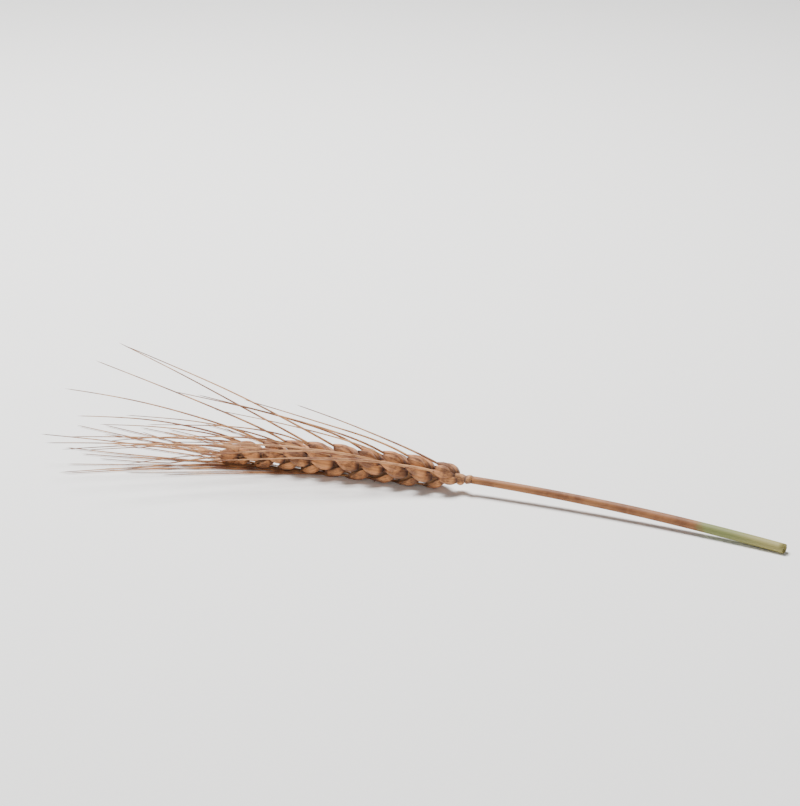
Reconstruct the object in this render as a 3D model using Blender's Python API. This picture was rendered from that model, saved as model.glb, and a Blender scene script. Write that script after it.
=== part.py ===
"""A bearded wheat ear on its cut straw, lying on a table.

Run it with: blender --background --python part.py, or from Blender's text editor.
It makes two solids: stem, the hollow straw, and ear, the zigzag rachis with its spikelets and
their awns grown together. Metres, +Z up. The ear points along -X and the straw along +X, the
table is the plane z = 0, and the origin is the middle of the footprint.
"""

import math
import random

import bmesh
import bpy
from mathutils import Matrix, Vector

MM = 0.001

# The line that the straw and the ear follow. s runs along it from the collar, where s is 0:
# towards the ear's tip it is positive, and towards the straw's cut end it is negative.
EAR_LENGTH = 84 * MM
STEM_LENGTH = 100 * MM
EAR_BEND = 5 * MM  # how far the tip nods towards -Y
STEM_BEND = 9 * MM  # how far the cut end sweeps towards -Y
COLLAR_HEIGHT = 4.7 * MM  # the line's height above the table at the collar
TIP_HEIGHT = 3.6 * MM
RISE_AT_COLLAR = 0.015  # the line's slope there, towards the tip
EAR_ROLL = math.radians(-20)  # the first row's lean from upright at the tip: towards -Y if negative
EAR_TWIST = math.radians(-18)  # what the lean gains at the collar

# Straw
STEM_RADIUS_CUT = 1.55 * MM
STEM_RADIUS_TOP = 1.25 * MM
STEM_WALL = 0.42 * MM
STEM_HOLLOW = 62 * MM  # the pith starts this far in from the cut end
STEM_SIDES = 16
STEM_RINGS = 13
STEM_GAP = 0.3 * MM  # between the straw's top and the ear's collar
STEM_SUNK = 0.15 * MM  # what the table trims off under its cut end

# Rachis: the jointed, flattened stalk inside the ear
COLLAR_RADIUS = 1.7 * MM
COLLAR_END = 1.7 * MM
NECK_RADIUS = 1.15 * MM
BARREN_NODE = 3.6 * MM  # where the rachis carries the small barren bud
RACHIS_HALF_WIDTH = 1.6 * MM
RACHIS_HALF_DEPTH = 1.0 * MM
RACHIS_ZIGZAG = 0.45 * MM
RACHIS_SIDES = 6
BUD_SIZE = (4.6 * MM, 3.2 * MM, 2.4 * MM)
BUD_BOW = 0.2 * MM
BUD_SUNK = 1.2 * MM

# Spikelets, in two alternating rows and one at the tip. The tables run along the ear: (share, value)
SPIKELETS = 18
FIRST_SPIKELET = 6.5 * MM
LAST_SPIKELET = 76 * MM
SPIKELET_LEAN = math.radians(20)  # from the ear's line
SPIKELET_LEANS = ((0.0, 0.95), (0.5, 1.0), (1.0, 0.72))
SPIKELET_SIZES = ((0.0, 0.82), (0.12, 0.98), (0.6, 1.0), (1.0, 0.76))
SPIKELET_SUNK = 1.8 * MM  # how far its base lies back along it from the rachis's side
SPIKELET_ASIDE = 0.35 * MM  # and how far out from the rachis's zigzag
TIP_SPIKELET_SIZE = 0.8
TIP_SPIKELET_ON = 0.4 * MM  # how far past the last of the rows it starts
PRESSED = 0.42  # share of its lean that a spikelet under the ear loses to the table

# Scales: (length, width, depth), where each starts in its spikelet as (aside, up, out), and how far
# it fans out. Each also faces partly outwards: FACES is that share against its own side.
GLUME_SIZE = (7.8 * MM, 3.8 * MM, 2.6 * MM)
LEMMA_SIZE = (9.0 * MM, 3.8 * MM, 3.0 * MM)
MIDDLE_LEMMA_SIZE = (7.8 * MM, 3.8 * MM, 3.0 * MM)
GLUME_START = (1.4 * MM, 0, -0.1 * MM)
LEMMA_START = (0.8 * MM, 1.3 * MM, 0.7 * MM)
MIDDLE_LEMMA_START = (0, 2.6 * MM, 0.8 * MM)
GLUME_FAN = math.radians(13)
LEMMA_FAN = math.radians(8)
GLUME_OPEN = math.radians(4)  # glumes lean out from the rachis by this
LEMMA_OPEN = math.radians(9)  # and lemmas by this
GLUME_FACES = 0.5
LEMMA_FACES = 1.15
GLUME_BOW = 0.55 * MM
LEMMA_BOW = 0.6 * MM
BEAK = 0.8 * MM  # how far a scale that carries no awn turns its tip out

# Each ring of a scale: (share of its length, share of its width, share of its depth)
GLUME_RINGS = ((0.0, 0.50, 0.50), (0.27, 0.98, 1.0), (0.62, 0.86, 0.88), (0.87, 0.34, 0.42))
LEMMA_RINGS = ((0.0, 0.42, 0.45), (0.3, 0.96, 0.97), (0.6, 0.94, 0.95), (0.85, 0.46, 0.50))
# Corners of a scale's outline as (across, out), clockwise seen from its tip: a flat inner side
# and a keeled back
SCALE_CORNERS = ((0.5, -0.12), (0.34, 0.36), (-0.04, 0.56), (-0.36, 0.34), (-0.5, -0.12))

# Awns: the long bristles that the side lemmas, and some middle ones, run out into
AWN_LENGTHS = ((0.0, 46 * MM), (0.3, 66 * MM), (0.7, 66 * MM), (1.0, 56 * MM))
AWN_RADIUS_ROOT = 0.40 * MM
AWN_RADIUS_TIP = 0.16 * MM
AWN_STEPS = 5
AWN_SIDES = 3
AWN_SPREAD = (math.radians(8), math.radians(25))  # from the ear's line, once it has straightened
AWN_STRAIGHTENS = 9 * MM  # the length over which it turns away from its lemma's line
AWN_CURL = 5 * MM  # how far its tip may bend off a straight line
AWN_ASIDE = (0.2, 1.2)  # how much it opens to its own side, against outwards
AWN_DIP = 0.2  # how steeply it may open towards the table
AWN_LOWEST = 0.46 * MM  # an awn that lies on the table has its middle this high
MIDDLE_AWN_CHANCE = 0.6
MIDDLE_AWN_SHARE = 0.75

SEED = 41
JITTER_ANGLE = math.radians(3)
JITTER_SIZE = 0.05

CHAFF_COLOUR = (0.42, 0.21, 0.11, 1)
STRAW_COLOUR = (0.50, 0.27, 0.16, 1)


def line_point(s):
    """The point of the line at s, before the footprint is centred."""
    if s >= 0:
        share = s / EAR_LENGTH
        sag = TIP_HEIGHT - COLLAR_HEIGHT - RISE_AT_COLLAR * EAR_LENGTH
        side = -EAR_BEND * share**2
    else:
        share = -s / STEM_LENGTH
        sag = STEM_RADIUS_CUT - STEM_SUNK - COLLAR_HEIGHT + RISE_AT_COLLAR * STEM_LENGTH
        side = -STEM_BEND * share**2
    return Vector((-s, side, COLLAR_HEIGHT + RISE_AT_COLLAR * s + sag * share**2))


def line_frame(s):
    """Tangent towards the tip, and the two directions across it: along the rows and along the fans."""
    step = 0.1 * MM
    tangent = (line_point(s + step) - line_point(s - step)).normalized()
    level = tangent.cross(Vector((0, 0, 1))).normalized()
    upright = level.cross(tangent)
    roll = EAR_ROLL + EAR_TWIST * (1 - min(max(s / EAR_LENGTH, 0), 1)) ** 2
    rows = math.cos(roll) * upright + math.sin(roll) * level
    return tangent, rows, rows.cross(tangent)


def between(table, share):
    """The value at share in a table of (share, value), on straight runs."""
    for (low, first), (high, second) in zip(table, table[1:]):
        if share <= high:
            return first + (second - first) * (share - low) / (high - low)
    return table[-1][1]


def material(name, colour, roughness):
    made = bpy.data.materials.new(name)
    made.use_nodes = True
    shader = made.node_tree.nodes["Principled BSDF"]
    shader.inputs["Base Color"].default_value = colour
    shader.inputs["Roughness"].default_value = roughness
    shader.inputs["Metallic"].default_value = 0
    return made


def object_from(bm, name):
    """An object of the closed mesh in bm, shaded smooth but for its sharp edges."""
    bmesh.ops.recalc_face_normals(bm, faces=bm.faces)
    mesh = bpy.data.meshes.new(name)
    bm.to_mesh(mesh)
    bm.free()
    mesh.shade_smooth()
    mesh.set_sharp_from_angle(angle=math.radians(50))
    made = bpy.data.objects.new(name, mesh)
    bpy.context.scene.collection.objects.link(made)
    return made


def ring(centre, across, out, width, depth, corners):
    """Points round centre: corners are (share of width, share of depth)."""
    return [centre + across * (a * width) + out * (b * depth) for a, b in corners]


def bridged(rings):
    """A mesh through rings of points, with each ring's own vertices and edges. Its ends stay open."""
    bm = bmesh.new()
    loops = [[bm.verts.new(p) for p in points] for points in rings]
    edges = [[bm.edges.new((a, b)) for a, b in zip(verts, verts[1:] + verts[:1])] for verts in loops]
    for first, second in zip(edges, edges[1:]):
        bmesh.ops.bridge_loops(bm, edges=first + second)
    return bm, loops, edges


def skin(name, rings, tip):
    """A closed body through the rings, from a flat end to a pointed tip."""
    bm, loops, edges = bridged(rings)
    bmesh.ops.contextual_create(bm, geom=edges[0])
    point = bm.verts.new(tip)
    for a, b in zip(loops[-1], loops[-1][1:] + loops[-1][:1]):
        bm.faces.new((a, b, point))
    return object_from(bm, name)


def circle(sides):
    turns = [2 * math.pi * k / sides for k in range(sides)]
    return [(math.cos(turn), math.sin(turn)) for turn in turns]


def scale_rings(base, along, out, size, rings, bow):
    """The rings of a glume or lemma: a boat with a keeled back, bowed outwards."""
    length, width, depth = size
    across = out.cross(along).normalized()
    out = along.cross(across).normalized()
    points = []
    for share, wide, deep in rings:
        centre = base + along * (length * share) + out * (bow * math.sin(math.pi * share))
        points.append(ring(centre, across, out, width * wide, depth * deep, SCALE_CORNERS))
    return points


def scale_body(name, base, along, out, size, rings, bow, awn=(), beak=BEAK):
    """One glume or lemma. It ends in a short beak, or runs on along the points of its awn."""
    points = scale_rings(base, along, out, size, rings, bow)
    across = out.cross(along).normalized()
    if not awn:
        return skin(name, points, base + along * size[0] + along.cross(across) * beak)
    for k, centre in enumerate(awn[:-1]):
        way = (awn[k + 1] - awn[max(k - 1, 0)]).normalized()
        across = (across - way * across.dot(way)).normalized()
        radius = AWN_RADIUS_ROOT + (AWN_RADIUS_TIP - AWN_RADIUS_ROOT) * k / AWN_STEPS
        points.append(ring(centre, across, way.cross(across), radius, radius, circle(AWN_SIDES)))
    return skin(name, points, awn[-1])


def awn_points(tip, along, aside, length, draw):
    """An awn's points: it sets off along its lemma from tip, turns along the ear, and opens aside.

    It keeps its place beside the ear's line, which it follows, and lies on the table where it meets it.
    """
    s = -tip.x
    tangent, _rows, _fans = line_frame(s)
    away = tip - line_point(s)
    outward = (away - tangent * away.dot(tangent)).normalized()
    outward.z = max(outward.z, -AWN_DIP)
    opening = (outward + aside * draw.uniform(*AWN_ASIDE)).normalized()
    start = along / along.dot(tangent) - tangent
    finish = opening * math.tan(draw.uniform(*AWN_SPREAD))
    curl = Vector((0, draw.uniform(-1, 1), draw.uniform(-1, 0.3))) * AWN_CURL
    length *= draw.uniform(0.88, 1.08)
    points = []
    for k in range(AWN_STEPS + 1):
        gone = length * k / AWN_STEPS
        turned = AWN_STRAIGHTENS * (1 - math.exp(-gone / AWN_STRAIGHTENS))
        point = line_point(s + gone) + away + start * turned + finish * (gone - turned)
        point += curl * (k / AWN_STEPS) ** 2
        point.z = max(point.z, AWN_LOWEST)
        points.append(point)
    return points


def spikelet(number, base, along, out, size, awn_length, draw):
    """The bodies of one spikelet: two glumes, two side lemmas and a middle one, with their awns.

    along is its own length, out faces away from the rachis, and size scales it.
    """
    fan = out.cross(along).normalized()

    def start(side, place):
        aside, up, outward = place
        return base + (fan * (side * aside) + along * up + out * outward) * size

    bodies = []
    for side in (-1, 1):
        name = f"{number}_{'near' if side < 0 else 'far'}"
        grow = size * (1 + draw.uniform(-1, 1) * JITTER_SIZE)
        glume_along = leaning(along, out, fan, side * GLUME_FAN, GLUME_OPEN, draw)
        bodies.append(scale_body(
            f"glume_{name}", start(side, GLUME_START), glume_along, fan * side + out * GLUME_FACES,
            [grow * x for x in GLUME_SIZE], GLUME_RINGS, GLUME_BOW))
        lemma_along = leaning(along, out, fan, side * LEMMA_FAN, LEMMA_OPEN, draw)
        lemma_size = [grow * x for x in LEMMA_SIZE]
        tip = start(side, LEMMA_START) + lemma_along * lemma_size[0]
        bodies.append(scale_body(
            f"lemma_{name}", start(side, LEMMA_START), lemma_along, fan * side + out * LEMMA_FACES,
            lemma_size, LEMMA_RINGS, LEMMA_BOW,
            awn_points(tip, lemma_along, side * fan, awn_length, draw)))
    middle_along = leaning(along, out, fan, 0, 2 * LEMMA_OPEN, draw)
    middle_size = [size * x for x in MIDDLE_LEMMA_SIZE]
    awn = ()
    if draw.random() < MIDDLE_AWN_CHANCE:
        tip = start(0, MIDDLE_LEMMA_START) + middle_along * middle_size[0]
        awn = awn_points(tip, middle_along, fan, awn_length * MIDDLE_AWN_SHARE, draw)
    bodies.append(scale_body(
        f"middle_{number}", start(0, MIDDLE_LEMMA_START), middle_along, out, middle_size, LEMMA_RINGS,
        LEMMA_BOW, awn))
    return bodies


def leaning(along, out, fan, aside, outward, draw):
    """along, turned by the angle aside in the spikelet's fan and by outward away from the rachis."""
    aside += draw.uniform(-1, 1) * JITTER_ANGLE
    outward += draw.uniform(-1, 1) * JITTER_ANGLE
    return (Matrix.Rotation(aside, 3, out) @ Matrix.Rotation(-outward, 3, fan) @ along).normalized()


def spikelet_places():
    """The two rows' spikelets from the base up: number, s, row (1 or -1) and share of the way up."""
    for i in range(SPIKELETS):
        share = i / (SPIKELETS - 1)
        yield i, FIRST_SPIKELET + (LAST_SPIKELET - FIRST_SPIKELET) * share, 1 if i % 2 == 0 else -1, share


def rachis():
    """The collar, the neck with its barren node, and the zigzag stalk that carries the spikelets."""
    ledge = 0.9 * MM
    stations = [(0.0, COLLAR_RADIUS * 0.8, COLLAR_RADIUS * 0.8, 0.0),
                (COLLAR_END / 2, COLLAR_RADIUS, COLLAR_RADIUS, 0.0),
                (COLLAR_END, NECK_RADIUS, NECK_RADIUS, 0.0),
                (BARREN_NODE - ledge, NECK_RADIUS, NECK_RADIUS, 0.0),
                (BARREN_NODE, NECK_RADIUS * 1.35, NECK_RADIUS * 1.2, 0.0),
                (BARREN_NODE + ledge, NECK_RADIUS, NECK_RADIUS, 0.0)]
    for _i, s, row, _share in spikelet_places():
        stations.append((s, RACHIS_HALF_WIDTH, RACHIS_HALF_DEPTH, row * RACHIS_ZIGZAG))
    rings = []
    for s, half_width, half_depth, shift in stations:
        _tangent, rows, fans = line_frame(s)
        rings.append(ring(line_point(s) + rows * shift, fans, rows, half_width, half_depth,
                          circle(RACHIS_SIDES)))
    return skin("ear", rings, line_point(LAST_SPIKELET + 3 * MM))


def barren_bud():
    """The small barren spikelet between the collar and the first full one."""
    tangent, rows, _fans = line_frame(BARREN_NODE)
    along = (tangent * 0.9 - rows * 0.42).normalized()
    base = line_point(BARREN_NODE) - rows * (NECK_RADIUS / 2) - along * BUD_SUNK
    return scale_body("bud", base, along, -rows, BUD_SIZE, LEMMA_RINGS, BUD_BOW, beak=0)


def tip_spikelet(draw):
    """The last spikelet, turned a quarter so that its fan lies along the rows."""
    tangent, _rows, fans = line_frame(LAST_SPIKELET)
    base = line_point(LAST_SPIKELET + TIP_SPIKELET_ON)
    return spikelet("tip", base, tangent, fans, TIP_SPIKELET_SIZE, AWN_LENGTHS[-1][1], draw)


def ear_parts():
    """Every body that grows from the rachis."""
    draw = random.Random(SEED)
    bodies = [barren_bud()]
    for i, s, row, share in spikelet_places():
        tangent, rows, _fans = line_frame(s)
        outward = rows * row
        pressed = 1 - PRESSED * max(0, -outward.z)
        lean = SPIKELET_LEAN * between(SPIKELET_LEANS, share) * pressed
        lean += draw.uniform(-1, 1) * JITTER_ANGLE
        along = tangent * math.cos(lean) + outward * math.sin(lean)
        out = outward * math.cos(lean) - tangent * math.sin(lean)
        base = line_point(s) + outward * (RACHIS_ZIGZAG + SPIKELET_ASIDE) - along * SPIKELET_SUNK
        bodies += spikelet(i, base, along, out, between(SPIKELET_SIZES, share),
                           between(AWN_LENGTHS, share), draw)
    return bodies + tip_spikelet(draw)


def join_to(body, others):
    """Joins the others to body by one Boolean union, and removes them."""
    group = bpy.data.collections.new("repeats")
    bpy.context.scene.collection.children.link(group)
    for other in others:
        bpy.context.scene.collection.objects.unlink(other)
        group.objects.link(other)
    union = body.modifiers.new("union", "BOOLEAN")
    union.operation = "UNION"
    union.operand_type = "COLLECTION"
    union.collection = group
    union.solver = "MANIFOLD"
    apply_modifiers(body)
    for other in others:
        bpy.data.objects.remove(other)
    bpy.data.collections.remove(group)


def apply_modifiers(body):
    graph = bpy.context.evaluated_depsgraph_get()
    body.data = bpy.data.meshes.new_from_object(body.evaluated_get(graph))
    body.modifiers.clear()


def keep_outer_shell(body):
    """Fills the small hollows that fusing has sealed, and drops loose scraps."""
    bm = bmesh.new()
    bm.from_mesh(body.data)
    shells, left = [], set(bm.verts)
    while left:
        shell, edge = set(), [left.pop()]
        while edge:
            vert = edge.pop()
            shell.add(vert)
            beside = {e.other_vert(vert) for e in vert.link_edges} & left
            left -= beside
            edge.extend(beside)
        shells.append(shell)
    outer = max(shells, key=len)
    bmesh.ops.delete(bm, geom=[v for shell in shells if shell is not outer for v in shell], context="VERTS")
    bm.to_mesh(body.data)
    bm.free()


def rest_on_table(body):
    """Trims what would reach under the table, which leaves the small flats that the ear rests on."""
    depth = 20 * MM
    reach = 4 * (EAR_LENGTH + STEM_LENGTH)
    bpy.ops.mesh.primitive_cube_add(size=1, location=(0, 0, -depth / 2), scale=(reach, reach, depth))
    table = bpy.context.object
    trim = body.modifiers.new("trim", "BOOLEAN")
    trim.operation = "DIFFERENCE"
    trim.object = table
    trim.solver = "MANIFOLD"
    apply_modifiers(body)
    bpy.data.objects.remove(table)


def stem():
    """The straw: round, tapered, hollow from its cut end to where its pith starts."""
    outer, inner = [], []
    for k in range(STEM_RINGS):
        share = k / (STEM_RINGS - 1)
        s = -STEM_LENGTH + (STEM_LENGTH - STEM_GAP) * share
        tangent, rows, fans = line_frame(s)
        radius = STEM_RADIUS_CUT + (STEM_RADIUS_TOP - STEM_RADIUS_CUT) * share
        outer.append(ring(line_point(s), fans, rows, radius, radius, circle(STEM_SIDES)))
        if s <= STEM_HOLLOW - STEM_LENGTH:
            bore = radius - STEM_WALL
            inner.append(ring(line_point(s), fans, rows, bore, bore, circle(STEM_SIDES)))
    bm, _loops, edges = bridged(inner[::-1] + outer)
    bmesh.ops.contextual_create(bm, geom=edges[0])
    bmesh.ops.contextual_create(bm, geom=edges[-1])
    return object_from(bm, "stem")


def centre_on_footprint(bodies):
    """Moves the bodies so that the origin is in the middle of what they cover on the table."""
    corners = [v.co for body in bodies for v in body.data.vertices]
    low = Vector([min(c[axis] for c in corners) for axis in range(3)])
    high = Vector([max(c[axis] for c in corners) for axis in range(3)])
    middle = (low + high) / 2
    for body in bodies:
        body.data.transform(Matrix.Translation((-middle.x, -middle.y, 0)))


def main():
    for old in list(bpy.data.objects):
        bpy.data.objects.remove(old)
    straw = stem()
    ear = rachis()
    join_to(ear, ear_parts())
    rest_on_table(ear)
    keep_outer_shell(ear)
    rest_on_table(straw)
    straw.data.materials.append(material("straw", STRAW_COLOUR, 0.55))
    ear.data.materials.clear()
    ear.data.materials.append(material("chaff", CHAFF_COLOUR, 0.8))
    centre_on_footprint([straw, ear])


main()
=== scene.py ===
import math
import random

import bmesh
import bpy
from mathutils import Matrix, Vector


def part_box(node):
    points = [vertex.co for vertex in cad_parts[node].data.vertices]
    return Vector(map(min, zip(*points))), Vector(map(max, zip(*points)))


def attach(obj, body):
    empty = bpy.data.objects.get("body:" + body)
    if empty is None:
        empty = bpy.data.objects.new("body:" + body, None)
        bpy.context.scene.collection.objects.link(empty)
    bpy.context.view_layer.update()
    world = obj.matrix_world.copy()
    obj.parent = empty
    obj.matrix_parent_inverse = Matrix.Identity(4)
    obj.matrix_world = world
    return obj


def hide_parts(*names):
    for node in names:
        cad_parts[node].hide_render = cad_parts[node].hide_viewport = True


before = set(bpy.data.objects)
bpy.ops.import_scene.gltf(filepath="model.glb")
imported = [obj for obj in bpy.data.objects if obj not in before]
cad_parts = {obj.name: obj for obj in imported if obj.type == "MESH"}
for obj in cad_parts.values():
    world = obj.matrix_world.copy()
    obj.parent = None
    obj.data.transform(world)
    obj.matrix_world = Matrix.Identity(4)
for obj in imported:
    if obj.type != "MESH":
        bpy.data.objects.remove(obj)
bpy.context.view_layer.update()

# A bearded wheat ear, dyed brown, on its cut straw. Every piece is modelled in millimetres
# and then laid in place along the same line, and by the same rule, as the solids of the part.
mm = 0.001

# The line: s is the way along it from the collar, positive to the tip, negative to the cut end
earLine = {
    "earLength": 84,
    "strawLength": 100,
    "earBend": 5,  # sideways sweep of the tip
    "strawBend": 9,  # and of the cut end
    "collarHeight": 4.7,
    "tipHeight": 3.6,
    "cutHeight": 1.4,
    "riseAtCollar": 0.015,
    "roll": -20,  # degrees that the two rows lean from upright
    "twist": -18,  # and what the lean gains at the collar
    "tableSkin": 0.35,  # what comes lower than this is pressed flat above the table
}


def linePoint(s):
    rise = earLine["riseAtCollar"]
    if s >= 0:
        share = s / earLine["earLength"]
        sag = earLine["tipHeight"] - earLine["collarHeight"] - rise * earLine["earLength"]
        side = -earLine["earBend"] * share**2
    else:
        share = -s / earLine["strawLength"]
        sag = earLine["cutHeight"] - earLine["collarHeight"] + rise * earLine["strawLength"]
        side = -earLine["strawBend"] * share**2
    return Vector((-s, side, earLine["collarHeight"] + rise * s + sag * share**2))


# The way to the tip, the way along the two rows, and the way across them
def lineFrame(s):
    tangent = (linePoint(s + 0.1) - linePoint(s - 0.1)).normalized()
    level = tangent.cross(Vector((0, 0, 1))).normalized()
    upright = level.cross(tangent)
    share = min(max(s / earLine["earLength"], 0), 1)
    roll = math.radians(earLine["roll"] + earLine["twist"] * (1 - share) ** 2)
    rows = math.cos(roll) * upright + math.sin(roll) * level
    return tangent, rows, rows.cross(tangent)


def between(table, share):
    for (low, first), (high, second) in zip(table, table[1:]):
        if share <= high:
            return first + (second - first) * (share - low) / (high - low)
    return table[-1][1]


# Where everything grows
spikelets = {
    "count": 18,
    "first": 6.5,
    "last": 76,
    "lean": 20,
    "leans": ((0, 0.95), (0.5, 1), (1, 0.72)),
    "sizes": ((0, 0.82), (0.12, 0.98), (0.6, 1), (1, 0.76)),
    "awnLengths": ((0, 46), (0.3, 66), (0.7, 66), (1, 56)),
    "zigzag": 0.45,
    "sunk": 1.8,
    "aside": 0.35,
    "pressed": 0.42,  # what the table takes off the lean of those under the ear
    "tipSize": 0.8,
    "tipOn": 0.4,
    "glumeStart": (1.4, 0, -0.1),  # aside, up and out in the spikelet
    "lemmaStart": (0.8, 1.3, 0.7),
    "middleStart": (0, 2.6, 0.8),
    "innerStart": (0, 1.3, -0.3),  # a palea that lies against the rachis
    "innerShare": (1.25, 1.05, 1.02),
    "glumeFan": 13,
    "lemmaFan": 8,
    "glumeOpen": 4,
    "lemmaOpen": 9,
    "glumeFaces": 0.5,
    "lemmaFaces": 1.15,
    "turnJitter": 3,
    "scaleRoll": 8,  # how far a scale may turn about its own length
    "sizeJitter": 0.05,
    "middleShare": (1, 1, 7.8 / 9),  # width, depth and length of the middle lemma against a side one
    "middleAwnChance": 0.6,
    "middleAwnShare": 0.75,
    "middleAwnThick": 0.85,
    "seed": 41,
    "toneSeed": 12,
}
glumeLook = {
    "size": (7.8, 3.8, 2.6),  # length, width and depth
    "bow": 0.55,
    "keel": 0.12,
    "nerve": 1.045,
    # each ring's share of the length, and its shares of the width and the depth
    "rings": ((0, 0.52, 0.5), (0.1, 0.77, 0.76), (0.27, 1.02, 1.02), (0.45, 1.02, 1.02),
              (0.62, 0.88, 0.9), (0.76, 0.64, 0.7), (0.86, 0.37, 0.46), (0.93, 0.16, 0.22)),
    "tip": (-0.2, 0.9, 8.15),  # the beak at the end of its keel
    "skin": 0.2,
}
lemmaLook = {
    "size": (9.0, 3.8, 3.0),
    "bow": 0.6,
    "keel": 0.06,
    "nerve": 1.035,
    "rings": ((0, 0.45, 0.46), (0.14, 0.76, 0.77), (0.3, 0.99, 0.99), (0.45, 1.02, 1.02),
              (0.6, 0.94, 0.95), (0.74, 0.72, 0.75), (0.85, 0.48, 0.52), (0.94, 0.27, 0.34)),
    "tip": (0, 0.1, 9.3),
    "skin": 0.2,
}
beakedLook = dict(lemmaLook, tip=(0, 0.85, 9.2))
paleaLook = {
    "size": (7.9, 3.3, 2.4),
    "bow": 0.5,
    "keel": -0.06,
    "nerve": 1.0,
    "rings": ((0, 0.42, 0.4), (0.14, 0.74, 0.74), (0.3, 0.98, 1), (0.6, 0.98, 1.1), (0.85, 0.62, 0.8)),
    "tip": (0, 0, 8.15),
    "skin": 0.15,
}
awnLook = {
    "rootRadius": 0.38,
    "tipRadius": 0.12,
    "thins": 0.8,  # lower thins it sooner
    "steps": 26,
    "sides": 6,
    "rootSunk": 1.3,  # how far back inside its lemma it starts
    "lengths": (0.88, 1.08),
    "spread": (8, 25),
    "straightens": 9,
    "curl": 5,
    "curlUp": (-1, 0.3),
    "aside": (0.2, 1.2),
    "dip": 0.2,
    "lowest": 0.4,
    "wave": 0.35,  # a small unevenness along each, along the rows and across them
    "waveTurns": (9, 7),
}

glumePlaces = []
lemmaPlaces = []
beakedPlaces = []  # middle lemmas that carry no awn
paleaPlaces = []
awnPaths = []
toneDraw = random.Random(spikelets["toneSeed"])


def placeOf(base, along, out, stretch):
    across = out.cross(along).normalized()
    out = along.cross(across).normalized()
    turn = Matrix((across, out, along)).transposed().to_4x4()
    return Matrix.Translation(base) @ turn @ Matrix.Diagonal((*stretch, 1))


def leaning(along, out, fan, aside, outward, draw):
    aside += draw.uniform(-1, 1) * spikelets["turnJitter"]
    outward += draw.uniform(-1, 1) * spikelets["turnJitter"]
    turn = Matrix.Rotation(math.radians(aside), 3, out) @ Matrix.Rotation(-math.radians(outward), 3, fan)
    return (turn @ along).normalized()


def rolled(facing, way):
    turn = toneDraw.uniform(-1, 1) * math.radians(spikelets["scaleRoll"])
    return Matrix.Rotation(turn, 3, way) @ facing


def awnPath(tip, along, aside, length, draw):
    s = -tip.x
    tangent, rows, fans = lineFrame(s)
    away = tip - linePoint(s)
    outward = (away - tangent * away.dot(tangent)).normalized()
    outward.z = max(outward.z, -awnLook["dip"])
    opening = (outward + aside * draw.uniform(*awnLook["aside"])).normalized()
    start = along / along.dot(tangent) - tangent
    finish = opening * math.tan(math.radians(draw.uniform(*awnLook["spread"])))
    curl = Vector((0, draw.uniform(-1, 1), draw.uniform(*awnLook["curlUp"]))) * awnLook["curl"]
    length *= draw.uniform(*awnLook["lengths"])
    phase = toneDraw.uniform(0, 6)
    rowTurns, fanTurns = awnLook["waveTurns"]
    points = [tip - along * awnLook["rootSunk"]]
    for k in range(awnLook["steps"]):
        share = k / (awnLook["steps"] - 1)
        gone = length * share
        turned = awnLook["straightens"] * (1 - math.exp(-gone / awnLook["straightens"]))
        point = linePoint(s + gone) + away + start * turned + finish * (gone - turned)
        point += curl * share**2
        wave = awnLook["wave"] * share * (1 - share)
        point += rows * (wave * math.sin(phase + rowTurns * share))
        point += fans * (wave * math.sin(2 * phase + fanTurns * share))
        point.z = max(point.z, awnLook["lowest"])
        points.append(point)
    return points


def growSpikelet(base, along, out, size, awnLength, draw):
    fan = out.cross(along).normalized()

    def start(side, place):
        aside, up, outward = place
        return base + (fan * (side * aside) + along * up + out * outward) * size

    for side in (-1, 1):
        grow = size * (1 + draw.uniform(-1, 1) * spikelets["sizeJitter"])
        tone = toneDraw.uniform(-1, 1)
        way = leaning(along, out, fan, side * spikelets["glumeFan"], spikelets["glumeOpen"], draw)
        facing = rolled(fan * side + out * spikelets["glumeFaces"], way)
        root = start(side, spikelets["glumeStart"])
        # a glume's beak leans to the outside of the spikelet, so one of each pair is its mirror image
        glumePlaces.append((placeOf(root, way, facing, (side * grow, grow, grow)), tone))
        way = leaning(along, out, fan, side * spikelets["lemmaFan"], spikelets["lemmaOpen"], draw)
        facing = rolled(fan * side + out * spikelets["lemmaFaces"], way)
        root = start(side, spikelets["lemmaStart"])
        tone = toneDraw.uniform(-1, 1)
        lemmaPlaces.append((placeOf(root, way, facing, (grow, grow, grow)), tone))
        paleaPlaces.append((placeOf(root, way, -facing, (grow, grow, grow)), tone))
        tip = root + way * (grow * lemmaLook["size"][0])
        awnPaths.append((awnPath(tip, way, side * fan, awnLength, draw), tone, 1))
    root = start(0, spikelets["innerStart"])
    stretch = [size * share for share in spikelets["innerShare"]]
    paleaPlaces.append((placeOf(root, along, -out, stretch), toneDraw.uniform(-1, 1)))
    way = leaning(along, out, fan, 0, 2 * spikelets["lemmaOpen"], draw)
    root = start(0, spikelets["middleStart"])
    tone = toneDraw.uniform(-1, 1)
    stretch = [size * share for share in spikelets["middleShare"]]
    paleaPlaces.append((placeOf(root, way, -out, stretch), tone))
    middle = placeOf(root, way, out, stretch)
    if draw.random() < spikelets["middleAwnChance"]:
        lemmaPlaces.append((middle, tone))
        tip = root + way * (stretch[2] * lemmaLook["size"][0])
        path = awnPath(tip, way, fan, awnLength * spikelets["middleAwnShare"], draw)
        awnPaths.append((path, tone, spikelets["middleAwnThick"]))
    else:
        beakedPlaces.append((middle, tone))


# Each spikelet's s, its row, and its share of the way from the first to the last
def spikeletPlaces():
    reach = spikelets["last"] - spikelets["first"]
    for i in range(spikelets["count"]):
        share = i / (spikelets["count"] - 1)
        yield spikelets["first"] + reach * share, 1 if i % 2 == 0 else -1, share


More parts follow.
